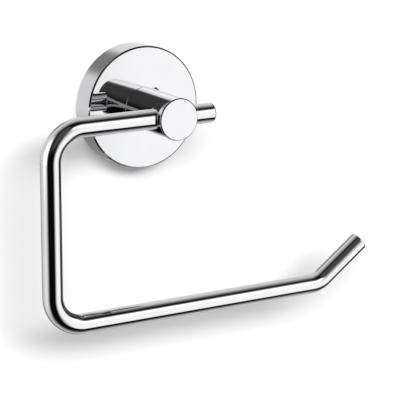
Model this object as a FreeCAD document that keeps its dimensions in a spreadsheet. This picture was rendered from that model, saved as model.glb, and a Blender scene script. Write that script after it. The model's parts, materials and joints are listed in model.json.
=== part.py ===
"""Swing-arm toilet paper holder, built as separate pieces in one parametric document.

Frame: +Z up, the wall's face is the plane y = 0 and the holder stands out along -Y.
The origin is the middle of the rosette on the wall.  Lengths are in millimetres.
"""
import FreeCAD, Part
import math
import os
import Sketcher

# Driving dimensions: alias, value, what it is.
SIZES = [
    ("rosette_dia", 59.0, "outer diameter of the round wall cover"),
    ("rosette_depth", 13.0, "from the wall to the edge of the cover's front"),
    ("rosette_crown", 0.45, "how far the front swells out from that edge to the post's seat"),
    ("rosette_rim", 3.0, "thickness of the cover's rim"),
    ("rosette_face", 2.0, "thickness of the cover's front at its edge"),
    ("rosette_edge", 0.75, "width of the bevel round the cover's front"),
    ("rosette_edge_depth", 0.63, "depth of that bevel"),
    ("projection", 46.5, "from the wall to the end of the post"),
    ("post_dia", 20.0, "diameter of the post"),
    ("post_edge", 0.5, "bevel at the post's free end"),
    ("post_seat_edge", 0.3, "bevel where the post meets the cover"),
    ("bar_dia", 9.5, "diameter of the bent bar"),
    ("bore_play", 0.05, "radial play of the bar in its bore"),
    ("standoff", 39.0, "from the wall to the bar's plane"),
    ("leg_offset", 62.8, "from the post's axis to the upright leg's axis"),
    ("arm_drop", 92.7, "between the axes of the upper and the lower bar"),
    ("stub_reach", 22.2, "from the post's axis to the stub's free end"),
    ("bend_radius", 15.0, "radius of the bar's axis in every bend"),
    ("lower_reach", 83.3, "from the post's axis to the corner of the upturned tip"),
    ("tip_angle", 36.0, "slope of the upturned tip, in degrees"),
    ("tip_length", 31.4, "from that corner to the tip's end"),
    ("stub_round", 1.4, "rounding of the stub's end"),
    ("tip_round", 0.8, "rounding of the tip's end"),
    ("groove_depth", 0.95, "depth of the retaining groove in the bar"),
    ("groove_width", 2.9, "width of the retaining groove"),
    ("bracket_dia", 52.2, "diameter of the wall bracket"),
    ("bracket_depth", 6.5, "depth of the bracket's rim"),
    ("bracket_web", 3.0, "thickness of the bracket's plate"),
    ("bracket_rim", 3.6, "width of the bracket's rim"),
    ("bracket_bore", 16.0, "hole in the middle of the bracket"),
    ("notch_depth", 1.2, "depth of the locking groove round the bracket"),
    ("notch_y", 3.6, "from the wall to the middle of the locking groove"),
    ("screw_pitch", 28.0, "between the two wall screws"),
    ("slot_width", 4.6, "width of the bracket's screw slots"),
    ("slot_travel", 3.0, "how far a wall screw can shift in its slot"),
    ("wall_collar_dia", 4.5, "diameter of the wall screw's collar in the bracket's slot"),
    ("wall_neck_dia", 4.0, "diameter of the wall screw's plain neck"),
    ("wall_thread_dia", 3.7, "mean diameter of the wall screw's thread"),
    ("wall_neck", 5.5, "length of the plain neck behind the wall's face"),
    ("wall_screw_depth", 32.0, "how far the wall screw reaches into the wall"),
    ("wall_point", 4.0, "length of the wall screw's point"),
    ("pan_head_dia", 8.0, "diameter of the wall screw's head"),
    ("pan_head_height", 2.8, "height of the wall screw's head"),
    ("pan_head_round", 2.0, "rounding of that head"),
    ("cross_size", 4.2, "length of the cross recess"),
    ("cross_width", 1.0, "width of the cross recess"),
    ("cross_depth", 1.6, "depth of the cross recess"),
    ("plug_dia", 6.0, "outer diameter of the wall plug"),
    ("plug_length", 30.0, "length of the wall plug"),
    ("plug_setback", 6.0, "how deep the plug is set behind the wall's face"),
    ("plug_slit", 1.0, "width of the plug's expansion slit"),
    ("plug_collar", 7.0, "length of the plug's solid collar"),
    ("plug_barb", 0.45, "height of the plug's barbs"),
    ("grub_dia", 4.0, "diameter of the two grub screws"),
    ("grub_key", 2.0, "size of the grub screws' hexagon socket"),
    ("grub_socket", 2.0, "depth of the grub screws' socket"),
    ("rim_grub_length", 4.0, "length of the cover's grub screw"),
    ("rim_grub_recess", 0.1, "how deep it sits in the rim"),
    ("cone_tip_dia", 0.8, "flat end of the cover screw's cone point"),
    ("arm_grub_recess", 1.0, "how deep the arm's grub screw sits in the post"),
    ("arm_grub_length", 5.0, "length of the arm's grub screw with its dog point"),
    ("dog_dia", 2.5, "diameter of the dog point"),
    ("dog_length", 1.1, "length of the dog point"),
    ("post_screw_dia", 6.0, "diameter of the screw that holds the post"),
    ("post_screw_length", 12.0, "length of that screw under its head"),
    ("post_head_dia", 10.5, "diameter of its button head"),
    ("post_head_height", 3.3, "height of its button head"),
    ("post_head_round", 2.6, "rounding of that head"),
    ("post_key", 4.0, "size of its hexagon socket"),
    ("post_socket", 2.1, "depth of its socket"),
    ("post_tap_depth", 11.0, "depth of the tapped hole in the post"),
    ("hole_play", 0.1, "radial play of plain screw holes"),
    ("washer_dia", 11.8, "outer diameter of the lock washer"),
    ("washer_thick", 1.6, "thickness of the lock washer"),
    ("washer_gap", 1.0, "gap in the lock washer's ring"),
    ("pin_dia", 2.0, "diameter of the locating pin"),
    ("pin_length", 5.5, "length of the locating pin"),
    ("pin_edge", 0.3, "bevel at the locating pin's end"),
    ("pin_height", 6.5, "height of the locating pin above the post's axis"),
]


BARBS = 6           # saw-tooth rings on a wall plug
BARB_FLANK = 0.75   # share of a barb's length that its slope takes


class Size:
    """A number together with the formula that gives it from the sheet."""

    def __init__(self, value, formula):
        self.value = value
        self.formula = formula

    def _join(self, other, sign, value):
        right = other.formula if isinstance(other, Size) else repr(float(other))
        return Size(value, "(%s %s %s)" % (self.formula, sign, right))

    def __add__(self, other):
        return self._join(other, "+", self.value + number(other))

    def __sub__(self, other):
        return self._join(other, "-", self.value - number(other))

    def __mul__(self, other):
        return self._join(other, "*", self.value * number(other))

    def __truediv__(self, other):
        return self._join(other, "/", self.value / number(other))

    def __neg__(self):
        return Size(-self.value, "(-1 * %s)" % self.formula)


def number(item):
    """The plain value of a Size or of a number."""
    return item.value if isinstance(item, Size) else float(item)


def make_sheet(document):
    """Write the driving dimensions into the sheet and return them as Size objects by name."""
    sheet = document.addObject("Spreadsheet::Sheet", "Sizes")
    sizes = {}
    for row, (alias, value, note) in enumerate(SIZES, start=1):
        sheet.set("A%d" % row, alias)
        sheet.set("B%d" % row, str(value))
        sheet.set("C%d" % row, note)
        sheet.setAlias("B%d" % row, alias)
        sizes[alias] = Size(value, "Sizes.%s" % alias)
    document.recompute()
    return sizes


doc = FreeCAD.newDocument("toilet_paper_holder")
size = make_sheet(doc)
pieces = []

NORMAL = FreeCAD.Vector(0, 0, 1)
NO_TURN = FreeCAD.Rotation()
Y_TO_Z = FreeCAD.Rotation(FreeCAD.Vector(1, 0, 0), 90)


def new_body(name, position=(0, 0, 0), turn=NO_TURN):
    """A body named after its piece, placed in the frame by formulas."""
    body = doc.addObject("PartDesign::Body", name)
    body.Label = name
    start = FreeCAD.Vector(*[number(item) for item in position])
    body.Placement = FreeCAD.Placement(start, turn)
    for axis, item in zip("xyz", position):
        if isinstance(item, Size):
            body.setExpression("Placement.Base.%s" % axis, item.formula)
    pieces.append(body)
    return body


def new_sketch(body, name, role, offset=None):
    """A sketch on one of the body's own origin planes, moved along its normal by offset."""
    plane = [item for item in body.Origin.OriginFeatures if item.Role == role][0]
    sketch = body.newObject("Sketcher::SketchObject", "%s_%s" % (body.Name, name))
    sketch.AttachmentSupport = [(plane, "")]
    sketch.MapMode = "FlatFace"
    if offset is not None:
        shift = FreeCAD.Vector(0, 0, number(offset))
        sketch.AttachmentOffset = FreeCAD.Placement(shift, NO_TURN)
        sketch.setExpression("AttachmentOffset.Base.z", offset.formula)
    return sketch


def bind(sketch, constraint, item):
    """Add a dimension and drive it from the sheet when it is a Size."""
    index = sketch.addConstraint(constraint)
    if isinstance(item, Size):
        sketch.renameConstraint(index, "size%d" % index)
        sketch.setExpression("Constraints.size%d" % index, item.formula)


def fix_point(sketch, edge, end, point):
    """Hold one end of an edge at a point given from the sketch's origin."""
    for kind, axis, item in (("DistanceX", -2, point[0]), ("DistanceY", -1, point[1])):
        if number(item) == 0:
            sketch.addConstraint(Sketcher.Constraint("PointOnObject", edge, end, axis))
        else:
            rule = Sketcher.Constraint(kind, -1, 1, edge, end, number(item))
            bind(sketch, rule, item)


def arc_between(start, end, radius):
    """The short arc that runs counter-clockwise from start to end."""
    chord = end - start
    side = FreeCAD.Vector(-chord.y, chord.x, 0).normalize()
    centre = (start + end) * 0.5 + side * math.sqrt(radius ** 2 - (chord.Length / 2) ** 2)
    first = math.atan2(start.y - centre.y, start.x - centre.x)
    last = math.atan2(end.y - centre.y, end.x - centre.x)
    return Part.ArcOfCircle(Part.Circle(centre, NORMAL, radius), first, last)


def outline(sketch, points, arc_edge=None, arc_radius=None):
    """A closed outline through the points; one of its edges may be a counter-clockwise arc."""
    spots = [FreeCAD.Vector(number(x), number(y), 0) for x, y in points]
    first = sketch.GeometryCount
    for index, (start, end) in enumerate(zip(spots, spots[1:] + spots[:1])):
        if index == arc_edge:
            sketch.addGeometry(arc_between(start, end, number(arc_radius)), False)
        else:
            sketch.addGeometry(Part.LineSegment(start, end), False)
    for index, point in enumerate(points):
        before = first + (index - 1) % len(points)
        sketch.addConstraint(Sketcher.Constraint("Coincident", before, 2, first + index, 1))
        fix_point(sketch, first + index, 1, point)
    if arc_edge is not None:
        curve = Sketcher.Constraint("Radius", first + arc_edge, number(arc_radius))
        bind(sketch, curve, arc_radius)


def circle(sketch, centre, diameter):
    """A circle, held at its centre and driven by its diameter."""
    middle = FreeCAD.Vector(number(centre[0]), number(centre[1]), 0)
    shape = Part.Circle(middle, NORMAL, number(diameter) / 2)
    index = sketch.addGeometry(shape, False)
    fix_point(sketch, index, 3, centre)
    bind(sketch, Sketcher.Constraint("Diameter", index, number(diameter)), diameter)


def hexagon(sketch, across_flats):
    """A regular hexagon round the sketch's origin."""
    corner = across_flats / (3 ** 0.5)
    half = corner / 2
    flat = across_flats / 2
    outline(sketch, [(corner, 0), (half, flat), (-half, flat), (-corner, 0), (-half, -flat),
                     (half, -flat)])


def revolve(body, name, points, arc_edge=None, arc_radius=None):
    """A solid turned about the sketch's upright axis."""
    sketch = new_sketch(body, name + "_profile", "XY_Plane")
    outline(sketch, points, arc_edge, arc_radius)
    feature = body.newObject("PartDesign::Revolution", "%s_%s" % (body.Name, name))
    feature.Profile = sketch
    feature.ReferenceAxis = (sketch, ["V_Axis"])
    feature.Angle = 360
    doc.recompute()
    return feature


def pocket(body, name, sketch, depth=None, backwards=False, both_ways=False):
    """Cut the sketch out of the body and make sure that the cut took material away."""
    volume = body.Shape.Volume
    feature = body.newObject("PartDesign::Pocket", "%s_%s" % (body.Name, name))
    feature.Profile = sketch
    feature.Reversed = backwards
    if depth is None:
        feature.Type = "ThroughAll"
        feature.Midplane = both_ways
    else:
        feature.Length = number(depth)
        feature.setExpression("Length", depth.formula)
    doc.recompute()
    if not body.Shape.Volume < volume - 1e-6:
        raise RuntimeError("%s cut nothing" % feature.Name)
    return feature


def edges_where(shape, test):
    """The names of the circular edges whose centre and radius pass the test."""
    names = []
    for index, edge in enumerate(shape.Edges, start=1):
        if isinstance(edge.Curve, Part.Circle) and test(edge.Curve.Center, edge.Curve.Radius):
            names.append("Edge%d" % index)
    return names


def dress(body, kind, feature, amount, test):
    """Round (Fillet) or bevel (Chamfer) the feature's circular edges that pass the test."""
    names = edges_where(feature.Shape, test)
    if not names:
        raise RuntimeError("no edge to dress on %s" % feature.Name)
    dressing = body.newObject("PartDesign::%s" % kind, "%s_%s" % (feature.Name, kind.lower()))
    dressing.Base = (feature, names)
    field = "Radius" if kind == "Fillet" else "Size"
    setattr(dressing, field, number(amount))
    dressing.setExpression(field, amount.formula)
    doc.recompute()
    return dressing


def near(first, second, slack=1e-3):
    return abs(first - number(second)) < slack


def slot(sketch, first, second, width):
    """A slot with round ends round two centres, given from the lower left to the upper right."""
    start = FreeCAD.Vector(number(first[0]), number(first[1]), 0)
    end = FreeCAD.Vector(number(second[0]), number(second[1]), 0)
    radius = number(width) / 2
    along = math.atan2(end.y - start.y, end.x - start.x)
    side = FreeCAD.Vector(-math.sin(along), math.cos(along), 0) * radius
    quarter = math.pi / 2
    far = Part.ArcOfCircle(Part.Circle(end, NORMAL, radius), along - quarter, along + quarter)
    near_end = Part.ArcOfCircle(Part.Circle(start, NORMAL, radius), along + quarter,
                                along + 3 * quarter)
    edges = [far, Part.LineSegment(end + side, start + side), near_end,
             Part.LineSegment(start - side, end - side)]
    base = sketch.GeometryCount
    for edge in edges:
        sketch.addGeometry(edge, False)
    for index in range(4):
        rule = Sketcher.Constraint("Tangent", base + index, 2, base + (index + 1) % 4, 1)
        sketch.addConstraint(rule)
    sketch.addConstraint(Sketcher.Constraint("Equal", base, base + 2))
    fix_point(sketch, base, 3, second)
    fix_point(sketch, base + 2, 3, first)
    bind(sketch, Sketcher.Constraint("Radius", base, radius), width / 2)


# Shared places in the frame.
rosette_radius = size["rosette_dia"] / 2
rosette_bore = rosette_radius - size["rosette_rim"]
face_inside = -(size["rosette_depth"] - size["rosette_face"])
rim_front = -size["rosette_depth"]
face_front = rim_front - size["rosette_crown"]
face_thickness = size["rosette_face"] + size["rosette_crown"]
post_radius = size["post_dia"] / 2
post_end = -size["projection"]
bar_radius = size["bar_dia"] / 2
bracket_radius = size["bracket_dia"] / 2
grub_radius = size["grub_dia"] / 2
post_screw_radius = size["post_screw_dia"] / 2
pin_radius = size["pin_dia"] / 2
screw_height = size["screw_pitch"] / 2


def make_wall_bracket():
    """The plate that is screwed to the wall and carries the cover on its rim."""
    body = new_body("wall_bracket")
    notch = size["notch_y"]
    depth = size["notch_depth"]
    rim_inside = bracket_radius - size["bracket_rim"]
    revolve(body, "plate", [
        (size["bracket_bore"] / 2, 0),
        (bracket_radius, 0),
        (bracket_radius, -(notch - depth)),
        (bracket_radius - depth, -notch),
        (bracket_radius, -(notch + depth)),
        (bracket_radius, -size["bracket_depth"]),
        (rim_inside, -size["bracket_depth"]),
        (rim_inside, -size["bracket_web"]),
        (size["bracket_bore"] / 2, -size["bracket_web"]),
    ])
    half = size["slot_travel"] / 2
    slots = new_sketch(body, "slots", "XZ_Plane")
    slot(slots, (-half, screw_height), (half, screw_height), size["slot_width"])
    slot(slots, (0, -screw_height - half), (0, -screw_height + half), size["slot_width"])
    pocket(body, "slots", slots, both_ways=True)


def make_wall_screw(name, height):
    """A pan-head wall screw; its thread is a plain cylinder of the mean diameter."""
    body = new_body(name, (0, 0, height))
    under_head = -size["bracket_web"]
    head_top = under_head - size["pan_head_height"]
    head_radius = size["pan_head_dia"] / 2
    collar = size["wall_collar_dia"] / 2
    neck = size["wall_neck_dia"] / 2
    thread = size["wall_thread_dia"] / 2
    depth = size["wall_screw_depth"]
    turned = revolve(body, "turned", [
        (0, head_top),
        (head_radius, head_top),
        (head_radius, under_head),
        (collar, under_head),
        (collar, 0),
        (neck, 0),
        (neck, size["wall_neck"]),
        (thread, size["wall_neck"]),
        (thread, depth - size["wall_point"]),
        (0, depth),
    ])
    dress(body, "Fillet", turned, size["pan_head_round"],
          lambda centre, radius: near(centre.y, head_top) and near(radius, head_radius))
    recess = new_sketch(body, "recess", "XZ_Plane", -head_top)
    arm = size["cross_size"] / 2
    side = size["cross_width"] / 2
    outline(recess, [(arm, -side), (arm, side), (side, side), (side, arm), (-side, arm),
                     (-side, side), (-arm, side), (-arm, -side), (-side, -side), (-side, -arm),
                     (side, -arm), (side, -side)])
    pocket(body, "recess", recess, size["cross_depth"])


def make_wall_plug(name, height):
    """A barbed nylon plug in the wall, slit along most of its length."""
    body = new_body(name, (0, 0, height))
    inside = size["wall_thread_dia"] / 2
    outside = size["plug_dia"] / 2
    root = outside - size["plug_barb"]
    start = size["plug_setback"]
    end = start + size["plug_length"]
    collar_end = start + size["plug_collar"]
    barb = (size["plug_length"] - size["plug_collar"]) / BARBS
    points = [(inside, end), (inside, start), (outside, start), (outside, collar_end)]
    for index in range(BARBS):
        foot = collar_end + barb * index
        points.append((root, foot))
        points.append((outside, foot + barb * BARB_FLANK))
    points.append((root, end))
    revolve(body, "tube", points)
    slit = new_sketch(body, "slit", "YZ_Plane")
    side = size["plug_slit"] / 2
    past = end + 1
    outline(slit, [(collar_end, -side), (past, -side), (past, side), (collar_end, side)])
    pocket(body, "slit", slit, both_ways=True)


def make_rosette():
    """The round cover: a cup with a slightly domed front, held on the bracket by a grub screw."""
    body = new_body("rosette")
    hole = post_screw_radius + size["hole_play"]
    front_radius = rosette_radius - size["rosette_edge"]
    dome_radius = (front_radius * front_radius - post_radius * post_radius) / (
        size["rosette_crown"] * 2)
    revolve(body, "cup", [
        (hole, face_front),
        (post_radius, face_front),
        (front_radius, rim_front),
        (rosette_radius, rim_front + size["rosette_edge_depth"]),
        (rosette_radius, 0),
        (rosette_bore, 0),
        (rosette_bore, face_inside),
        (hole, face_inside),
    ], arc_edge=1, arc_radius=dome_radius)
    grub_hole = new_sketch(body, "grub_hole", "XY_Plane", -bracket_radius)
    circle(grub_hole, (0, -size["notch_y"]), size["grub_dia"])
    pocket(body, "grub_hole", grub_hole)
    pin_hole = new_sketch(body, "pin_hole", "XZ_Plane", -face_inside)
    circle(pin_hole, (0, size["pin_height"]), size["pin_dia"])
    pocket(body, "pin_hole", pin_hole, face_thickness, backwards=True)


def make_grub_screw(name, depth, outer_end, length, tip_radius, tip_length, cone):
    """A hexagon-socket grub screw that points upwards, with a cone or a dog point."""
    body = new_body(name, (0, -depth, 0), Y_TO_Z)
    start = -outer_end
    end = start + length
    shoulder = end - tip_length
    points = [(0, start), (grub_radius, start), (grub_radius, shoulder)]
    if not cone:
        points.append((tip_radius, shoulder))
    points += [(tip_radius, end), (0, end)]
    revolve(body, "turned", points)
    socket = new_sketch(body, "socket", "XZ_Plane", outer_end)
    hexagon(socket, size["grub_key"])
    pocket(body, "socket", socket, size["grub_socket"])


def make_post():
    """The round post: tapped at the back, cross-bored for the bar near its free end."""
    body = new_body("post")
    tapped = face_front - size["post_tap_depth"]
    turned = revolve(body, "turned", [
        (post_screw_radius, face_front),
        (post_radius, face_front),
        (post_radius, post_end),
        (0, post_end),
        (0, tapped),
        (post_screw_radius, tapped),
    ])
    bevelled = dress(body, "Chamfer", turned, size["post_edge"],
                     lambda centre, radius: near(centre.y, post_end) and near(radius, post_radius))
    dress(body, "Chamfer", bevelled, size["post_seat_edge"],
          lambda centre, radius: near(centre.y, face_front) and near(radius, post_radius))
    bore = new_sketch(body, "bore", "YZ_Plane")
    circle(bore, (-size["standoff"], 0), size["bar_dia"] + size["bore_play"] * 2)
    pocket(body, "bore", bore, both_ways=True)
    grub_hole = new_sketch(body, "grub_hole", "XY_Plane")
    circle(grub_hole, (0, -size["standoff"]), size["grub_dia"])
    pocket(body, "grub_hole", grub_hole)
    pin_hole = new_sketch(body, "pin_hole", "XZ_Plane", -face_front)
    circle(pin_hole, (0, size["pin_height"]), size["pin_dia"])
    pocket(body, "pin_hole", pin_hole, size["pin_length"] - face_thickness, backwards=True)


def make_post_screw():
    """The button-head screw that pulls the post against the cover from inside."""
    body = new_body("post_screw", (0, face_inside + size["washer_thick"], 0))
    head_radius = size["post_head_dia"] / 2
    head_top = size["post_head_height"]
    turned = revolve(body, "turned", [
        (0, -size["post_screw_length"]),
        (post_screw_radius, -size["post_screw_length"]),
        (post_screw_radius, 0),
        (head_radius, 0),
        (head_radius, head_top),
        (0, head_top),
    ])
    dress(body, "Fillet", turned, size["post_head_round"],
          lambda centre, radius: near(centre.y, head_top) and near(radius, head_radius))
    socket = new_sketch(body, "socket", "XZ_Plane", -head_top)
    hexagon(socket, size["post_key"])
    pocket(body, "socket", socket, size["post_socket"], backwards=True)


def make_lock_washer():
    """The split ring under the head of the post's screw."""
    body = new_body("lock_washer", (0, face_inside, 0))
    hole = post_screw_radius + size["hole_play"]
    outside = size["washer_dia"] / 2
    revolve(body, "ring", [(hole, 0), (outside, 0), (outside, size["washer_thick"]),
                           (hole, size["washer_thick"])])
    gap = new_sketch(body, "gap", "XZ_Plane")
    side = size["washer_gap"] / 2
    past = outside + 1
    outline(gap, [(0, -side), (past, -side), (past, side), (0, side)])
    pocket(body, "gap", gap, both_ways=True)


def make_locating_pin():
    """The small pin that keeps the post's cross bore level."""
    body = new_body("locating_pin", (0, face_inside, size["pin_height"]))
    pin = revolve(body, "turned", [(0, 0), (pin_radius, 0), (pin_radius, -size["pin_length"]),
                                   (0, -size["pin_length"])])
    dress(body, "Chamfer", pin, size["pin_edge"],
          lambda centre, radius: near(centre.y, -size["pin_length"]) and near(radius, pin_radius))


def arm_path(body):
    """The bar's axis: stub, upper bar, upright leg, lower bar and upturned tip, in one line."""
    path = new_sketch(body, "path", "XZ_Plane")
    bend = number(size["bend_radius"])
    left = -number(size["leg_offset"])
    low = -number(size["arm_drop"])
    slope = math.radians(number(size["tip_angle"]))
    corner = number(size["lower_reach"])
    reach = "Sizes.lower_reach + Sizes.tip_length * cos(Sizes.tip_angle * 1 deg)"
    rise = "-1 * Sizes.arm_drop + Sizes.tip_length * sin(Sizes.tip_angle * 1 deg)"
    tip_x = Size(corner + number(size["tip_length"]) * math.cos(slope), reach)
    tip_z = Size(low + number(size["tip_length"]) * math.sin(slope), rise)
    setback = bend * math.tan(slope / 2)

    def spot(x, z):
        return FreeCAD.Vector(x, z, 0)

    def arc(centre, start, end):
        return Part.ArcOfCircle(Part.Circle(centre, NORMAL, bend), start, end)

    level = math.pi / 2
    edges = [
        Part.LineSegment(spot(number(size["stub_reach"]), 0), spot(left + bend, 0)),
        arc(spot(left + bend, -bend), level, 2 * level),
        Part.LineSegment(spot(left, -bend), spot(left, low + bend)),
        arc(spot(left + bend, low + bend), 2 * level, 3 * level),
        Part.LineSegment(spot(left + bend, low), spot(corner - setback, low)),
        arc(spot(corner - setback, low + bend), 3 * level, 3 * level + slope),
        Part.LineSegment(spot(corner + setback * math.cos(slope), low + setback * math.sin(slope)),
                         spot(tip_x.value, tip_z.value)),
    ]
    for edge in edges:
        path.addGeometry(edge, False)
    for index in range(len(edges) - 1):
        path.addConstraint(Sketcher.Constraint("Tangent", index, 2, index + 1, 1))
    for index in (3, 5):
        path.addConstraint(Sketcher.Constraint("Equal", 1, index))
    for index, rule in ((0, "Horizontal"), (2, "Vertical"), (4, "Horizontal")):
        path.addConstraint(Sketcher.Constraint(rule, index))
    fix_point(path, 0, 1, (size["stub_reach"], 0))
    fix_point(path, 6, 2, (tip_x, tip_z))
    leg = -size["leg_offset"]
    bind(path, Sketcher.Constraint("DistanceX", -1, 1, 2, 1, leg.value), leg)
    bottom = -size["arm_drop"]
    bind(path, Sketcher.Constraint("DistanceY", -1, 1, 4, 1, bottom.value), bottom)
    bind(path, Sketcher.Constraint("Radius", 1, bend), size["bend_radius"])
    turn = Size(slope, "Sizes.tip_angle * 1 deg")
    bind(path, Sketcher.Constraint("Angle", 6, slope), turn)
    return path, tip_x


def make_roll_arm():
    """The bent bar; its own origin is on the bore's axis, in line with the post."""
    body = new_body("roll_arm", (0, -size["standoff"], 0))
    path, tip_x = arm_path(body)
    section = new_sketch(body, "section", "YZ_Plane", size["stub_reach"])
    circle(section, (0, 0), size["bar_dia"])
    doc.recompute()
    bar = body.newObject("PartDesign::AdditivePipe", "roll_arm_bar")
    bar.Profile = section
    bar.Spine = (path, ["Edge%d" % index for index in range(1, path.GeometryCount + 1)])
    doc.recompute()
    stub = dress(body, "Fillet", bar, size["stub_round"],
                 lambda centre, radius: near(centre.x, size["stub_reach"]))
    dress(body, "Fillet", stub, size["tip_round"],
          lambda centre, radius: near(centre.x, tip_x))
    ring = new_sketch(body, "groove_section", "XZ_Plane")
    side = size["groove_width"] / 2
    floor = bar_radius - size["groove_depth"]
    past = bar_radius + 1
    outline(ring, [(-side, floor), (side, floor), (side, past), (-side, past)])
    volume = body.Shape.Volume
    groove = body.newObject("PartDesign::Groove", "roll_arm_groove")
    groove.Profile = ring
    groove.ReferenceAxis = (ring, ["H_Axis"])
    groove.Angle = 360
    doc.recompute()
    if not body.Shape.Volume < volume:
        raise RuntimeError("the retaining groove cut nothing")


def check_document():
    """Stop when any object failed, or when a piece is not one valid solid."""
    for item in doc.Objects:
        if "Invalid" in item.State or "Error" in item.State:
            raise RuntimeError("%s failed: %s" % (item.Name, item.State))
    for body in pieces:
        shape = body.Shape
        if shape.isNull() or not shape.isValid() or len(shape.Solids) != 1:
            raise RuntimeError("%s is not one valid solid" % body.Label)


make_wall_bracket()
for place, height in (("upper", screw_height), ("lower", -screw_height)):
    make_wall_screw("wall_screw_%s" % place, height)
    make_wall_plug("wall_plug_%s" % place, height)
make_rosette()
make_grub_screw("rosette_grub_screw", size["notch_y"],
                rosette_radius - size["rim_grub_recess"], size["rim_grub_length"],
                size["cone_tip_dia"] / 2, grub_radius - size["cone_tip_dia"] / 2, cone=True)
make_post()
make_post_screw()
make_lock_washer()
make_locating_pin()
make_grub_screw("arm_grub_screw", size["standoff"],
                post_radius - size["arm_grub_recess"], size["arm_grub_length"],
                size["dog_dia"] / 2, size["dog_length"], cone=False)
make_roll_arm()
doc.recompute()
check_document()

os.makedirs("parts", exist_ok=True)
for body in pieces:
    body.Shape.exportStep("parts/%s.step" % body.Label)
    box = body.Shape.BoundBox
    print("%-20s x %7.2f %7.2f  y %7.2f %7.2f  z %7.2f %7.2f" % (
        body.Label, box.XMin, box.XMax, box.YMin, box.YMax, box.ZMin, box.ZMax))
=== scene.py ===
"""Looks, studio and camera for the swing-arm toilet paper holder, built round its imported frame.

Metres and the frame's own axes: +Z up, the wall's face is y = 0 and the holder stands out along -Y.
"""

import json
import math
from collections import namedtuple

import bmesh
import bpy
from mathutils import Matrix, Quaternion, Vector


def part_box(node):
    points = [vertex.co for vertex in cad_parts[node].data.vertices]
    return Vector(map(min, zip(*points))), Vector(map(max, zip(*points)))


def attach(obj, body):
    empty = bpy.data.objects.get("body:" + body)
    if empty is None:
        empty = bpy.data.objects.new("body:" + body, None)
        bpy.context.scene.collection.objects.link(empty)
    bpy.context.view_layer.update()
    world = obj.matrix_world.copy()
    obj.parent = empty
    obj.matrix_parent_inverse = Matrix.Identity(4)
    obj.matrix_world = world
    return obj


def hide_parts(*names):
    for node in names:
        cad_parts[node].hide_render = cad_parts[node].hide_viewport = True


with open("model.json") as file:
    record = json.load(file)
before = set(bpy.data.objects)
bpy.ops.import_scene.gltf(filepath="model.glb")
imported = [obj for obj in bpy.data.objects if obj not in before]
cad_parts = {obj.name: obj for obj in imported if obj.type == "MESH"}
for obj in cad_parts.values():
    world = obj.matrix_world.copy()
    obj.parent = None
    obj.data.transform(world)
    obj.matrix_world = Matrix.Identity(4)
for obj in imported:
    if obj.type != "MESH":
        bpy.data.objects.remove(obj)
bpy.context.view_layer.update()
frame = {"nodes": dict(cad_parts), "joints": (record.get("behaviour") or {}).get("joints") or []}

MM = 0.001
TURN = 2 * math.pi

# Places and sizes that the frame gives.
pivot = Vector(frame["joints"][0]["pos_m"])
cover_low, cover_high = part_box("rosette")
post_low, post_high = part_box("post")
arm_low, arm_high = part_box("roll_arm")
cover_grub_low, cover_grub_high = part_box("rosette_grub_screw")

COVER_RADIUS = cover_high.x
COVER_RIM = 3.0 * MM
COVER_FACE = 2.0 * MM
COVER_BORE = 3.1 * MM
COVER_EDGE = 0.75 * MM
COVER_EDGE_DEPTH = 0.63 * MM
COVER_CROWN = 0.45 * MM
COVER_INNER_EDGE = 1.2 * MM
POST_RADIUS = post_high.x
POST_TAP_RADIUS = 3.0 * MM
POST_TAP_DEPTH = 11.0 * MM
POST_EDGE = 0.5 * MM
POST_SEAT_EDGE = 0.3 * MM
BORE_RADIUS = 4.8 * MM
BORE_LIP = 0.25 * MM
GRUB_RADIUS = 2.0 * MM
GRUB_LIP = 0.15 * MM
GRUB_BOTTOM = 4.9 * MM
FINE_EDGE = 0.12 * MM

BAR_RADIUS = (arm_high.y - arm_low.y) / 2
LEG_X = round(arm_low.x + BAR_RADIUS, 4)
LOW_Z = round(arm_low.z + BAR_RADIUS, 4)
STUB_REACH = 22.2 * MM
LOWER_REACH = 83.3 * MM
TIP_ANGLE = math.radians(36)
TIP_LENGTH = 31.4 * MM
BEND_RADIUS = 15.0 * MM
STUB_ROUND = 1.4 * MM
TIP_ROUND = 0.8 * MM
GROOVE_FLOOR = 3.8 * MM
GROOVE_WIDTH = 2.9 * MM

# How finely the round forms are divided.
ARC_STEP = math.radians(3)
EDGE_STEP = math.radians(11.25)
BAR_SIDES = 96
POST_COLUMNS = 192
COVER_COLUMNS = 384
DOME_ROWS = 16
ROW_HEIGHT = 0.5 * MM

# The square patch round each hole: half its height, half its width in columns, and its rings.
GRUB_PATCH = 3.0 * MM
BORE_PATCH = 6.4 * MM
COVER_GRUB_COLUMNS = 8
POST_GRUB_COLUMNS = 10
BORE_COLUMNS = 22
PATCH_RINGS = 8
LIP_RINGS = 5

# A length that counts as nothing, the slack when a place on a line is looked up, and an angle that
# counts as straight.
TINY = 1e-7
HAIR = 1e-9
STRAIGHT = 1e-4


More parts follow.
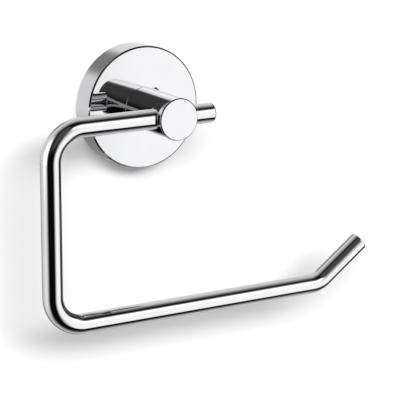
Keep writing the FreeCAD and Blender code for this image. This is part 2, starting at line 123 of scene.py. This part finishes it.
class Skin:
    """A closed surface in the making: points with their exact normals, and faces between them."""

    def __init__(self):
        self.points = []
        self.normals = []
        self.wear = []
        self.faces = []

    def point(self, place, normal, wear=0.0):
        self.points.append(Vector(place))
        self.normals.append(Vector(normal).normalized())
        self.wear.append(wear)
        return len(self.points) - 1

    def join(self, first, second):
        """Quads between two closed rings of the same count."""
        count = len(first)
        for index in range(count):
            after = (index + 1) % count
            self.faces.append((first[index], first[after], second[after], second[index]))

    def close(self, ring, centre, normal):
        """Close a ring with a fan about a centre."""
        middle = self.point(centre, normal)
        for index in range(len(ring)):
            self.faces.append((ring[index], ring[(index + 1) % len(ring)], middle))

    def piece(self, name):
        """The finished mesh object, with outward faces and the exact normals."""
        mesh = bpy.data.meshes.new(name)
        mesh.from_pydata(self.points, [], self.faces)
        shape = bmesh.new()
        shape.from_mesh(mesh)
        bmesh.ops.recalc_face_normals(shape, faces=shape.faces)
        shape.to_mesh(mesh)
        shape.free()
        wear = mesh.attributes.new("edge_wear", "FLOAT", "POINT")
        wear.data.foreach_set("value", self.wear)
        mesh.shade_smooth()
        mesh.normals_split_custom_set_from_vertices(self.normals)
        made = bpy.data.objects.new(name, mesh)
        bpy.context.scene.collection.objects.link(made)
        return made


def rounded(corners, radii, step, closed=False):
    """A line through flat corners with an arc at each: a list of (point, direction, on an arc)."""
    count = len(corners)
    line = []
    for index, corner in enumerate(corners):
        here = Vector(corner)
        if not closed and index in (0, count - 1):
            beside = Vector(corners[1 if index == 0 else count - 2])
            along = (beside - here) if index == 0 else (here - beside)
            line.append((here, along.normalized(), False))
            continue
        before = (here - Vector(corners[index - 1])).normalized()
        after = (Vector(corners[(index + 1) % count]) - here).normalized()
        turn = before.angle_signed(after)
        radius = radii[index]
        start = here - before * radius * math.tan(abs(turn) / 2)
        side = Vector((-before.y, before.x)) * (-1 if turn > 0 else 1)
        centre = start + side * radius
        pieces = max(2, math.ceil(abs(turn) / step))
        for part in range(pieces + 1):
            angle = -turn * part / pieces
            spin = complex(math.cos(angle), math.sin(angle))
            arm = complex(*(start - centre)) * spin
            heading = complex(*before) * spin
            line.append((centre + Vector((arm.real, arm.imag)),
                         Vector((heading.real, heading.imag)), True))
    return line


def around_y(angle, radius, y):
    """The point at an angle and a radius round the Y axis."""
    return Vector((radius * math.cos(angle), y, radius * math.sin(angle)))


def turn_profile(skin, profile, columns, side):
    """Rings about the Y axis, one for each (radius, y) of the profile; side is the outward hand."""
    rings = []
    for (radius, y), heading, on_arc in profile:
        lean = Vector((heading.y, -heading.x)) * side
        if radius < TINY:
            rings.append([skin.point((0, y, 0), (0, lean.y, 0))])
            continue
        ring = []
        for column in range(columns):
            angle = TURN * column / columns
            normal = around_y(angle, lean.x, lean.y)
            ring.append(skin.point(around_y(angle, radius, y), normal, float(on_arc)))
        rings.append(ring)
    return rings


def join_rings(skin, rings, left_open=(), closed=False):
    """Faces between following rings, apart from the stretches left open for a wall with holes."""
    pairs = list(zip(rings, rings[1:]))
    if closed:
        pairs.append((rings[-1], rings[0]))
    for index, (first, second) in enumerate(pairs):
        if index in left_open:
            continue
        if len(first) == 1 or len(second) == 1:
            tip, ring = (first, second) if len(first) == 1 else (second, first)
            for column in range(len(ring)):
                skin.faces.append((ring[column], ring[(column + 1) % len(ring)], tip[0]))
        else:
            skin.join(first, second)


class Hole:
    """A round hole that leaves a turned wall square to its axis."""

    def __init__(self, column, half_columns, first_row, last_row, y, radius, lip):
        self.column = column
        self.half_columns = half_columns
        self.first_row = first_row
        self.last_row = last_row
        self.y = y
        self.radius = radius
        self.lip = lip

    def holds(self, row, column, columns):
        """Is this cell of the wall inside the hole's patch?"""
        offset = (column - self.column + columns // 2) % columns - columns // 2
        inside = -self.half_columns <= offset < self.half_columns
        return inside and self.first_row <= row < self.last_row

    def border(self, columns):
        """The patch's border as (row, column), once round."""
        left = self.column - self.half_columns
        right = self.column + self.half_columns
        spots = [(self.first_row, column) for column in range(left, right)]
        spots += [(row, right) for row in range(self.first_row, self.last_row)]
        spots += [(self.last_row, column) for column in range(right, left, -1)]
        spots += [(row, left) for row in range(self.last_row, self.first_row, -1)]
        return [(row, column % columns) for row, column in spots]


def wall_with_holes(skin, first, last, radius, low_y, high_y, rows, holes, side):
    """A turned wall between two rings, with a patch round each hole; gives each hole's inner ring.

    Every point lies on the true cylinder.  side is 1 where the solid is inside the wall, else -1.
    """
    columns = len(first)

    def height(row):
        return low_y + (high_y - low_y) * row / rows

    def on_wall(angle, y):
        return skin.point(around_y(angle, radius, y), around_y(angle, side, 0))

    # The wall itself, without the points inside a patch.
    grid = {}
    for row in range(rows + 1):
        for column in range(columns):
            if row == 0:
                grid[row, column] = first[column]
            elif row == rows:
                grid[row, column] = last[column]
            elif not any(hole.holds(row, column, columns) and hole.holds(row - 1, column, columns)
                         and hole.holds(row, column - 1, columns) for hole in holes):
                grid[row, column] = on_wall(TURN * column / columns, height(row))
    for row in range(rows):
        for column in range(columns):
            if any(hole.holds(row, column, columns) for hole in holes):
                continue
            after = (column + 1) % columns
            skin.faces.append((grid[row, column], grid[row, after],
                               grid[row + 1, after], grid[row + 1, column]))
    mouths = []
    for hole in holes:
        centre = TURN * hole.column / columns
        border = hole.border(columns)
        rays = []
        for row, column in border:
            swing = (TURN * column / columns - centre + math.pi) % TURN - math.pi
            y = height(row)
            rays.append((swing, y, math.atan2(radius * math.sin(swing), y - hole.y)))
        # From the patch's square border to the hole's round edge.
        ring = [grid[spot] for spot in border]
        for step in range(1, PATCH_RINGS + 1):
            share = step / PATCH_RINGS
            inner = []
            for swing, y, around in rays:
                reach = hole.radius + hole.lip
                edge_swing = math.asin(reach * math.sin(around) / radius)
                edge_y = hole.y + reach * math.cos(around)
                inner.append(on_wall(centre + swing + (edge_swing - swing) * share,
                                     y + (edge_y - y) * share))
            skin.join(ring, inner)
            ring = inner
        # The rounded lip, which turns from the wall into the hole.
        for step in range(1, LIP_RINGS + 1):
            lean = math.pi / 2 * step / LIP_RINGS
            inner = []
            for swing, y, around in rays:
                reach = hole.radius + hole.lip * (1 - math.sin(lean))
                out = math.sqrt(radius ** 2 - (reach * math.sin(around)) ** 2)
                out -= side * hole.lip * (1 - math.cos(lean))
                across = reach * math.sin(around)
                place = hole_point(centre, out, across, hole.y + reach * math.cos(around))
                wall_normal = hole_point(centre, math.sqrt(radius ** 2 - across ** 2), across, 0)
                hole_normal = hole_point(centre, 0, -math.sin(around), -math.cos(around))
                normal = wall_normal.normalized() * side * math.cos(lean)
                inner.append(skin.point(place, normal + hole_normal * math.sin(lean), 1.0))
            skin.join(ring, inner)
            ring = inner
        mouths.append((ring, [around for _, _, around in rays]))
    return mouths


def hole_point(centre, out, across, y):
    """A point given along a hole's own axis, across it and along the wall's axis."""
    outward = Vector((math.cos(centre), 0, math.sin(centre)))
    sideways = Vector((-math.sin(centre), 0, math.cos(centre)))
    return outward * out + sideways * across + Vector((0, y, 0))


def rosette():
    """The round cover: a cup with a domed front and a small hole for its grub screw below."""
    skin = Skin()
    inner = COVER_RADIUS - COVER_RIM
    seat = cover_low.y
    front = seat + COVER_CROWN
    corners = [(inner, 0), (COVER_RADIUS, 0), (COVER_RADIUS, front + COVER_EDGE_DEPTH),
               (COVER_RADIUS - COVER_EDGE, front), (POST_RADIUS, seat), (COVER_BORE, seat),
               (COVER_BORE, front + COVER_FACE), (inner, front + COVER_FACE)]
    radii = [FINE_EDGE] * (len(corners) - 1) + [COVER_INNER_EDGE]
    profile = rounded(corners, radii, EDGE_STEP, closed=True)
    profile = domed(profile, COVER_RADIUS - COVER_EDGE, POST_RADIUS, front, seat)
    rings = turn_profile(skin, profile, COVER_COLUMNS, -1)
    outer = wall_stretch(profile, COVER_RADIUS)
    inside = wall_stretch(profile, inner)
    join_rings(skin, rings, left_open=(outer, inside), closed=True)
    centre_y = (cover_grub_low.y + cover_grub_high.y) / 2
    below = COVER_COLUMNS * 3 // 4
    mouths = []
    for index, radius, side in ((outer, COVER_RADIUS, 1), (inside, inner, -1)):
        second = (index + 1) % len(rings)
        low_y, high_y = profile[index][0].y, profile[second][0].y
        rows = round(abs(high_y - low_y) / ROW_HEIGHT)
        spread = rows_about(low_y, high_y, rows, centre_y, GRUB_PATCH)
        hole = Hole(below, COVER_GRUB_COLUMNS, *spread, centre_y, GRUB_RADIUS, GRUB_LIP)
        mouths += wall_with_holes(skin, rings[index], rings[second], radius, low_y, high_y, rows,
                                  [hole], side)
    bridge(skin, mouths[0], mouths[1])
    return skin.piece("rosette_cover")


def domed(profile, outer, inner, low, high):
    """Put the rows of a shallow dome on the stretch between two radii of a profile."""
    halfway = (outer + inner) / 2
    at = next(index for index, (point, _, _) in enumerate(profile)
              if point.x > halfway > profile[index + 1][0].x)
    bulge = (high - low) / (outer ** 2 - inner ** 2)
    rows = []
    for row in range(1, DOME_ROWS):
        radius = outer + (inner - outer) * row / DOME_ROWS
        slope = -2 * bulge * radius
        place = Vector((radius, low + bulge * (outer ** 2 - radius ** 2)))
        rows.append((place, Vector((-1, -slope)).normalized(), False))
    return profile[:at + 1] + rows + profile[at + 1:]


def wall_stretch(profile, radius):
    """The index of the profile's straight stretch that lies at this radius."""
    for index, (point, _, _) in enumerate(profile):
        after = profile[(index + 1) % len(profile)][0]
        if abs(point.x - radius) < TINY and abs(after.x - radius) < TINY:
            return index
    raise ValueError("no wall at that radius")


def rows_about(low_y, high_y, rows, centre, half):
    """The first and last row of a patch round a centre."""
    step = (high_y - low_y) / rows
    ends = sorted(((centre - half - low_y) / step, (centre + half - low_y) / step))
    return max(1, round(ends[0])), min(rows - 1, round(ends[1]))


def bridge(skin, first, second):
    """The tube of a hole between its two mouths."""
    ordered = []
    for ring, _ in (first, second):
        # Each ring starts at the same side of the hole and goes round the same way.
        middle = sum((skin.points[index] for index in ring), Vector()) / len(ring)
        axis = 2 if abs(middle.x) > abs(middle.z) else 0
        spots = [(math.atan2(skin.points[index][axis], skin.points[index].y - middle.y), index)
                 for index in ring]
        start = min(range(len(spots)), key=lambda item: spots[item][0])
        rolled = ring[start:] + ring[:start]
        if spots[(start + 1) % len(spots)][0] > spots[start - 1][0]:
            rolled = [rolled[0]] + rolled[:0:-1]
        ordered.append(rolled)
    skin.join(ordered[0], ordered[1])


def post():
    """The round post with its bevelled ends, cross bore and grub-screw hole."""
    skin = Skin()
    back = post_high.y
    end = post_low.y
    tap_end = back - POST_TAP_DEPTH
    corners = [(0, tap_end), (POST_TAP_RADIUS, tap_end), (POST_TAP_RADIUS, back),
               (POST_RADIUS - POST_SEAT_EDGE, back), (POST_RADIUS, back - POST_SEAT_EDGE),
               (POST_RADIUS, end + POST_EDGE), (POST_RADIUS - POST_EDGE, end), (0, end)]
    radii = [0] + [FINE_EDGE] * (len(corners) - 2) + [0]
    profile = rounded(corners, radii, EDGE_STEP)
    rings = turn_profile(skin, profile, POST_COLUMNS, -1)
    index = wall_stretch(profile, POST_RADIUS)
    join_rings(skin, rings, left_open=(index,))
    low_y, high_y = profile[index][0].y, profile[index + 1][0].y
    rows = round(abs(high_y - low_y) / ROW_HEIGHT)
    bore_rows = rows_about(low_y, high_y, rows, pivot.y, BORE_PATCH)
    grub_rows = rows_about(low_y, high_y, rows, pivot.y, GRUB_PATCH)
    bore = (BORE_COLUMNS, *bore_rows, pivot.y, BORE_RADIUS, BORE_LIP)
    grub = (POST_GRUB_COLUMNS, *grub_rows, pivot.y, GRUB_RADIUS, GRUB_LIP)
    holes = [Hole(0, *bore), Hole(POST_COLUMNS // 2, *bore), Hole(POST_COLUMNS * 3 // 4, *grub)]
    right, left, below = wall_with_holes(skin, rings[index], rings[index + 1], POST_RADIUS,
                                         low_y, high_y, rows, holes, 1)
    bridge(skin, right, left)
    floor = [skin.point((skin.points[spot].x, skin.points[spot].y, -GRUB_BOTTOM),
                        skin.normals[spot]) for spot in below[0]]
    skin.join(below[0], floor)
    skin.close(floor, (0, pivot.y, -GRUB_BOTTOM), (0, 0, -1))
    return skin.piece("post_body")


def arm_line():
    """The bar's axis in the arm's plane: (point, direction, distance from the stub's end)."""
    tip = Vector((LOWER_REACH, LOW_Z))
    tip += Vector((math.cos(TIP_ANGLE), math.sin(TIP_ANGLE))) * TIP_LENGTH
    corners = [(STUB_REACH, pivot.z), (LEG_X, pivot.z), (LEG_X, LOW_Z), (LOWER_REACH, LOW_Z), tip]
    line = rounded(corners, [BEND_RADIUS] * len(corners), ARC_STEP)
    gone = 0.0
    measured = []
    for index, (point, heading, _) in enumerate(line):
        if index:
            last, last_heading, _ = line[index - 1]
            chord = (point - last).length
            turn = abs(last_heading.angle(heading, 0))
            gone += chord if turn < STRAIGHT else BEND_RADIUS * turn
        measured.append((point, heading, gone))
    return measured


def bar_profile(length):
    """The bar's outline as (distance, radius): rounded ends and the retaining groove."""
    groove_start = STUB_REACH - GROOVE_WIDTH / 2
    groove_end = STUB_REACH + GROOVE_WIDTH / 2
    corners = [(0, 0), (0, BAR_RADIUS), (groove_start, BAR_RADIUS), (groove_start, GROOVE_FLOOR),
               (groove_end, GROOVE_FLOOR), (groove_end, BAR_RADIUS), (length, BAR_RADIUS),
               (length, 0)]
    radii = [0, STUB_ROUND] + [FINE_EDGE] * 4 + [TIP_ROUND, 0]
    return rounded(corners, radii, EDGE_STEP)


def roll_arm():
    """The bent bar, swept along its axis."""
    skin = Skin()
    line = arm_line()
    length = line[-1][2]
    ends = [(distance, radius, slope, on_arc)
            for (distance, radius), slope, on_arc in bar_profile(length)]
    past_groove = STUB_REACH + GROOVE_WIDTH
    before_tip = length - TIP_ROUND - FINE_EDGE
    level = Vector((1, 0))
    between = [(distance, BAR_RADIUS, level, False) for _, _, distance in line
               if past_groove < distance < before_tip]
    tip_start = next(index for index, row in enumerate(ends) if row[0] > past_groove)
    outline = ends[:tip_start] + between + ends[tip_start:]
    rings = []
    for distance, radius, slope, on_arc in outline:
        after = next(index for index, item in enumerate(line) if item[2] >= distance - HAIR)
        before = max(0, after - 1)
        gap = line[after][2] - line[before][2]
        share = (distance - line[before][2]) / gap if gap else 0
        centre = line[before][0].lerp(line[after][0], share)
        heading = line[before][1].lerp(line[after][1], share).normalized()
        along = Vector((heading.x, 0, heading.y))
        upward = Vector((-heading.y, 0, heading.x))
        middle = Vector((centre.x, pivot.y, centre.y))
        if radius < TINY:
            rings.append([skin.point(middle, along * (-1 if distance < length / 2 else 1))])
            continue
        ring = []
        for side in range(BAR_SIDES):
            angle = TURN * side / BAR_SIDES
            outward = upward * math.cos(angle) + Vector((0, math.sin(angle), 0))
            normal = outward * slope.x - along * slope.y
            ring.append(skin.point(middle + outward * radius, normal, float(on_arc)))
        rings.append(ring)
    join_rings(skin, rings)
    return skin.piece("roll_arm_bar")


class Nodes:
    """Short ways to add and link a tree's nodes."""

    def __init__(self, tree):
        self.tree = tree
        tree.nodes.clear()

    def add(self, kind, **settings):
        """A new node with its settings."""
        node = self.tree.nodes.new(kind)
        for name, value in settings.items():
            setattr(node, name, value)
        return node

    def link(self, source, target):
        self.tree.links.new(source, target)

    def feed(self, socket, value):
        """Link a socket, or set it to a plain value."""
        if isinstance(value, bpy.types.NodeSocket):
            self.link(value, socket)
        else:
            socket.default_value = value

    def math(self, operation, *values):
        """The result of one sum on sockets or plain values."""
        node = self.add("ShaderNodeMath", operation=operation)
        for socket, value in zip(node.inputs, values):
            self.feed(socket, value)
        return node.outputs[0]

    def step(self, value, start, end, low=0.0, high=1.0):
        """A smooth change from low to high while value goes from start to end."""
        node = self.add("ShaderNodeMapRange", interpolation_type="SMOOTHSTEP")
        for socket, item in zip(node.inputs, (value, start, end, low, high)):
            self.feed(socket, item)
        return node.outputs["Result"]

    def noise(self, scale, detail, stretch=None):
        """Noise in the piece's own coordinates, stretched along the axes with a small factor."""
        place = self.add("ShaderNodeTexCoord").outputs["Object"]
        if stretch:
            mapping = self.add("ShaderNodeMapping")
            mapping.inputs["Scale"].default_value = stretch
            self.link(place, mapping.inputs["Vector"])
            place = mapping.outputs["Vector"]
        node = self.add("ShaderNodeTexNoise")
        node.inputs["Scale"].default_value = scale
        node.inputs["Detail"].default_value = detail
        self.link(place, node.inputs["Vector"])
        return node.outputs["Fac"]

    def ramp(self, value, first, second):
        """A colour between two, by a value from 0 to 1."""
        node = self.add("ShaderNodeValToRGB")
        for stop, colour in zip(node.color_ramp.elements, (first, second)):
            stop.color = (*colour, 1)
        self.link(value, node.inputs["Fac"])
        return node.outputs["Color"]


def new_material(name):
    """A material with a plain Principled shader: (material, its nodes, the shader)."""
    material = bpy.data.materials.new(name)
    material.use_nodes = True
    nodes = Nodes(material.node_tree)
    shader = nodes.add("ShaderNodeBsdfPrincipled")
    output = nodes.add("ShaderNodeOutputMaterial")
    nodes.link(shader.outputs["BSDF"], output.inputs["Surface"])
    return material, nodes, shader


CHROME_DARK = (0.550, 0.551, 0.560)
CHROME_LIGHT = (0.580, 0.581, 0.590)
EDGE_HAZE = 0.03


def chrome(name):
    """Polished chrome plate: faint cloudiness, hairline buffing marks, edges a little softer."""
    material, nodes, shader = new_material(name)
    shader.inputs["Metallic"].default_value = 1.0
    cloud = nodes.noise(scale=90, detail=3)
    nodes.link(nodes.ramp(cloud, CHROME_DARK, CHROME_LIGHT), shader.inputs["Base Color"])
    marks = nodes.noise(scale=2600, detail=2, stretch=(1, 0.12, 1))
    wear = nodes.add("ShaderNodeAttribute", attribute_name="edge_wear").outputs["Fac"]
    haze = nodes.step(marks, 0.35, 0.8, low=0.012, high=0.035)
    worn = nodes.math("MULTIPLY_ADD", wear, EDGE_HAZE, haze)
    nodes.link(worn, shader.inputs["Roughness"])
    return material


BUMP_STRENGTH = 0.4


def add_bump(nodes, shader, height, distance):
    """A fine relief of the given depth."""
    bump = nodes.add("ShaderNodeBump")
    bump.inputs["Strength"].default_value = BUMP_STRENGTH
    bump.inputs["Distance"].default_value = distance
    nodes.link(height, bump.inputs["Height"])
    nodes.link(bump.outputs["Normal"], shader.inputs["Normal"])


ZINC_DARK = (0.40, 0.41, 0.42)
ZINC_LIGHT = (0.60, 0.61, 0.63)


def zinc_casting():
    """Dull die-cast zinc: cloudy grey with a fine grain."""
    material, nodes, shader = new_material("zinc_casting")
    shader.inputs["Metallic"].default_value = 1.0
    cloud = nodes.noise(scale=140, detail=4)
    grain = nodes.noise(scale=2400, detail=3)
    nodes.link(nodes.ramp(cloud, ZINC_DARK, ZINC_LIGHT), shader.inputs["Base Color"])
    nodes.link(nodes.step(grain, 0.3, 0.75, low=0.38, high=0.6), shader.inputs["Roughness"])
    add_bump(nodes, shader, grain, 0.06 * MM)
    return material


def turned_steel(name, along, dark, light):
    """Turned steel: fine rings round the piece's own axis, which along gives as a stretch."""
    material, nodes, shader = new_material(name)
    shader.inputs["Metallic"].default_value = 1.0
    rings = nodes.noise(scale=3200, detail=2, stretch=along)
    cloud = nodes.noise(scale=300, detail=3)
    nodes.link(nodes.ramp(cloud, dark, light), shader.inputs["Base Color"])
    nodes.link(nodes.step(rings, 0.3, 0.75, low=0.2, high=0.38), shader.inputs["Roughness"])
    add_bump(nodes, shader, rings, 0.02 * MM)
    return material


NYLON_DARK = (0.36, 0.37, 0.38)
NYLON_LIGHT = (0.47, 0.48, 0.49)
NYLON_DEPTH = 0.6 * MM


def moulded_nylon():
    """Grey nylon, slightly waxy, with faint flow marks along the plug."""
    material, nodes, shader = new_material("moulded_nylon")
    shader.inputs["Subsurface Weight"].default_value = 0.1
    shader.inputs["Subsurface Radius"].default_value = (NYLON_DEPTH, NYLON_DEPTH, NYLON_DEPTH)
    flow = nodes.noise(scale=500, detail=3, stretch=(1, 0.2, 1))
    grain = nodes.noise(scale=3000, detail=2)
    nodes.link(nodes.ramp(flow, NYLON_DARK, NYLON_LIGHT), shader.inputs["Base Color"])
    nodes.link(nodes.step(grain, 0.3, 0.7, low=0.42, high=0.6), shader.inputs["Roughness"])
    add_bump(nodes, shader, grain, 0.03 * MM)
    return material


# The lights that the chrome mirrors, by direction in degrees: azimuth 0 looks out from the wall and
# 90 to the right.  A side is a pair: where the light is gone, and where it is full.
Panel = namedtuple("Panel", "left right low high strength")
FRONT_BOX = Panel(left=(0, 30), right=(80, 65), low=(-45, -35), high=(50, 15), strength=2.0)
TOP_STRIP = Panel(left=(10, 15), right=(75, 60), low=(10, 25), high=(40, 30), strength=1.5)
FILL_CARD = Panel(left=(-60, -20), right=(10, 0), low=(0, 20), high=(70, 50), strength=0.12)
LEFT_BOX = Panel(left=(-125, -90), right=(-55, -80), low=(-15, -10), high=(60, 20), strength=3.0)
LEFT_FLOOR = Panel(left=(-125, -90), right=(-55, -80), low=(-65, -25), high=(-10, -15),
                   strength=1.0)
PANELS = [FRONT_BOX, TOP_STRIP, FILL_CARD, LEFT_BOX, LEFT_FLOOR]

# Two dark cloths behind the wall's plane, which the cover's rim and the bar mirror.
Cloth = namedtuple("Cloth", "azimuth elevation inner outer light_left")
UPPER_CLOTH = Cloth(azimuth=-175, elevation=30, inner=5, outer=20, light_left=0.3)
LOWER_CLOTH = Cloth(azimuth=175, elevation=-35, inner=15, outer=40, light_left=0.3)

# The pale room round and behind the wall: its light grows from BACK_START to BACK_FULL, as the
# direction turns into the wall (its y), and dims from RIGHT_START to RIGHT_DIM on the right (its x).
BACK_LIGHT = 1.3
BACK_START = -0.4
BACK_FULL = 0.5
RIGHT_START = 0.5
RIGHT_DIM = 0.7
BACK_RIGHT_LEFT = 0.1

# What is left where no light is, what matt surfaces get, and what the camera sees past the stage.
BASE_LIGHT = 0.005
AMBIENT = 0.56
BACKDROP = 0.985


def toward(azimuth, elevation):
    """The unit vector that points to an azimuth and an elevation in degrees."""
    turn, rise = math.radians(azimuth), math.radians(elevation)
    level = math.cos(rise)
    return Vector((math.sin(turn) * level, -math.cos(turn) * level, math.sin(rise)))


def mirrored_room(nodes):
    """Brightness of the room by direction: soft panels in front, a pale room behind."""
    direction = nodes.add("ShaderNodeTexCoord").outputs["Generated"]
    parts = nodes.add("ShaderNodeSeparateXYZ")
    nodes.link(direction, parts.inputs[0])
    x, y, z = parts.outputs
    to_degrees = math.degrees(1)
    outward = nodes.math("MULTIPLY", y, -1.0)
    azimuth = nodes.math("MULTIPLY", nodes.math("ARCTAN2", x, outward), to_degrees)
    elevation = nodes.math("MULTIPLY", nodes.math("ARCSINE", z), to_degrees)

    total = BASE_LIGHT
    for panel in PANELS:
        strength = panel.strength
        for place, side in ((azimuth, panel.left), (azimuth, panel.right),
                            (elevation, panel.low), (elevation, panel.high)):
            strength = nodes.math("MULTIPLY", strength, nodes.step(place, *side))
        total = nodes.math("ADD", total, strength)

    back = nodes.math("MULTIPLY", nodes.step(y, BACK_START, BACK_FULL, 0.0, BACK_LIGHT),
                      nodes.step(x, RIGHT_START, RIGHT_DIM, 1.0, BACK_RIGHT_LEFT))
    for cloth in (UPPER_CLOTH, LOWER_CLOTH):
        nearness = nodes.add("ShaderNodeVectorMath", operation="DOT_PRODUCT")
        nodes.link(direction, nearness.inputs[0])
        nearness.inputs[1].default_value = toward(cloth.azimuth, cloth.elevation)
        start, end = math.cos(math.radians(cloth.outer)), math.cos(math.radians(cloth.inner))
        back = nodes.math("MULTIPLY", back,
                          nodes.step(nearness.outputs["Value"], start, end, 1.0,
                                     cloth.light_left))
    return nodes.math("ADD", total, back)


def studio_world():
    """A light room: chrome mirrors its panels, matt surfaces get its even light."""
    world = bpy.data.worlds.new("studio")
    bpy.context.scene.world = world
    world.use_nodes = True
    nodes = Nodes(world.node_tree)
    path = nodes.add("ShaderNodeLightPath")
    even = nodes.add("ShaderNodeBackground")
    seen = nodes.step(path.outputs["Is Camera Ray"], 0, 1, AMBIENT, BACKDROP)
    nodes.link(seen, even.inputs["Strength"])
    room = nodes.add("ShaderNodeBackground")
    nodes.link(mirrored_room(nodes), room.inputs["Strength"])
    mix = nodes.add("ShaderNodeMixShader")
    nodes.link(path.outputs["Is Glossy Ray"], mix.inputs["Fac"])
    nodes.link(even.outputs[0], mix.inputs[1])
    nodes.link(room.outputs[0], mix.inputs[2])
    output = nodes.add("ShaderNodeOutputWorld")
    nodes.link(mix.outputs[0], output.inputs["Surface"])


def one_sided(name, colour):
    """A matt white surface that lets through what looks at its back."""
    material, nodes, shader = new_material(name)
    shader.inputs["Base Color"].default_value = (*colour, 1)
    shader.inputs["Roughness"].default_value = 0.9
    shader.inputs["Specular IOR Level"].default_value = 0.0
    back = nodes.add("ShaderNodeNewGeometry").outputs["Backfacing"]
    clear = nodes.add("ShaderNodeBsdfTransparent")
    mix = nodes.add("ShaderNodeMixShader")
    nodes.link(back, mix.inputs["Fac"])
    nodes.link(shader.outputs["BSDF"], mix.inputs[1])
    nodes.link(clear.outputs[0], mix.inputs[2])
    output = [node for node in nodes.tree.nodes if node.type == "OUTPUT_MATERIAL"][0]
    nodes.link(mix.outputs[0], output.inputs["Surface"])
    return material


def sheet_of(name, corners, material):
    """A flat stage object between its corners."""
    mesh = bpy.data.meshes.new(name)
    mesh.from_pydata(corners, [], [range(len(corners))])
    mesh.materials.append(material)
    made = bpy.data.objects.new(name, mesh)
    bpy.context.scene.collection.objects.link(made)
    return made


STAGE_HALF = 4.0
FLOOR_Z = -0.25
WALL_Y = 0.00002


def stage():
    """A white wall at y = 0 and a pale floor well below."""
    white = one_sided("studio_wall", (0.9, 0.9, 0.9))
    wall = sheet_of("studio_wall", [(-STAGE_HALF, WALL_Y, FLOOR_Z), (STAGE_HALF, WALL_Y, FLOOR_Z),
                                    (STAGE_HALF, WALL_Y, STAGE_HALF),
                                    (-STAGE_HALF, WALL_Y, STAGE_HALF)], white)
    wall.visible_glossy = False
    pale = one_sided("studio_floor", (0.86, 0.86, 0.85))
    floor = sheet_of("studio_floor", [(-STAGE_HALF, -STAGE_HALF, FLOOR_Z),
                                      (STAGE_HALF, -STAGE_HALF, FLOOR_Z),
                                      (STAGE_HALF, STAGE_HALF, FLOOR_Z),
                                      (-STAGE_HALF, STAGE_HALF, FLOOR_Z)], pale)
    floor.visible_glossy = False
    floor.visible_diffuse = False
    floor.visible_shadow = False


KEY_AZIMUTH = -12
KEY_ELEVATION = 26
KEY_DISTANCE = 3.0
KEY_WIDTH = 3.0
KEY_HEIGHT = 1.0
KEY_POWER = 89


def key_light():
    """The main light, in front of the wall and above, which throws the soft shadows downwards."""
    data = bpy.data.lights.new("key", "AREA")
    data.shape = "ELLIPSE"
    data.size = KEY_WIDTH
    data.size_y = KEY_HEIGHT
    data.energy = KEY_POWER
    lamp = bpy.data.objects.new("key", data)
    bpy.context.scene.collection.objects.link(lamp)
    away = toward(KEY_AZIMUTH, KEY_ELEVATION)
    lamp.location = away * KEY_DISTANCE
    lamp.rotation_mode = "QUATERNION"
    lamp.rotation_quaternion = away.to_track_quat("Z", "Y")
    lamp.visible_glossy = False


CAMERA_AIM = Vector((0.0103, -0.0479, -0.0391))
CAMERA_AZIMUTH = -30.99
CAMERA_ELEVATION = 13.98
CAMERA_ROLL = 0.13
CAMERA_DISTANCE = 0.8835
LENS = 170
SENSOR_WIDTH = 36


def camera():
    """A long lens to the left of the holder and a little above it."""
    data = bpy.data.cameras.new("camera")
    data.lens = LENS
    data.sensor_width = SENSOR_WIDTH
    made = bpy.data.objects.new("camera", data)
    bpy.context.scene.collection.objects.link(made)
    back = toward(CAMERA_AZIMUTH, CAMERA_ELEVATION)
    made.location = CAMERA_AIM + back * CAMERA_DISTANCE
    made.rotation_mode = "QUATERNION"
    roll = Quaternion((0, 0, 1), math.radians(CAMERA_ROLL))
    made.rotation_quaternion = (-back).to_track_quat("-Z", "Y") @ roll
    bpy.context.scene.camera = made


def dress(piece, material, body, node):
    """Give a piece its material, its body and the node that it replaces."""
    piece.data.materials.clear()
    piece.data.materials.append(material)
    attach(piece, body)
    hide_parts(node)


dress(rosette(), chrome("cover_chrome"), "holder", "rosette")
dress(post(), chrome("post_chrome"), "holder", "post")
dress(roll_arm(), chrome("bar_chrome"), "arm", "roll_arm")

ALONG_Y = (0.05, 1, 0.05)
ALONG_Z = (0.05, 0.05, 1)
STAINLESS = ((0.50, 0.50, 0.49), (0.66, 0.66, 0.64))
PLATED = ((0.52, 0.54, 0.58), (0.68, 0.69, 0.70))

stainless_screw = turned_steel("stainless_screw", ALONG_Y, *STAINLESS)
stainless_grub = turned_steel("stainless_grub", ALONG_Z, *STAINLESS)
plated_steel = turned_steel("plated_steel", ALONG_Y, *PLATED)
nylon = moulded_nylon()
FINISHES = {
    "wall_bracket": zinc_casting(),
    "wall_screw_upper": stainless_screw,
    "wall_screw_lower": stainless_screw,
    "wall_plug_upper": nylon,
    "wall_plug_lower": nylon,
    "rosette_grub_screw": stainless_grub,
    "arm_grub_screw": stainless_grub,
    "post_screw": plated_steel,
    "lock_washer": plated_steel,
    "locating_pin": plated_steel,
}
for node, finish in FINISHES.items():
    for material_slot in frame["nodes"][node].material_slots:
        material_slot.material = finish

camera()
stage()
studio_world()
key_light()

scene = bpy.context.scene
scene.view_settings.view_transform = "Standard"
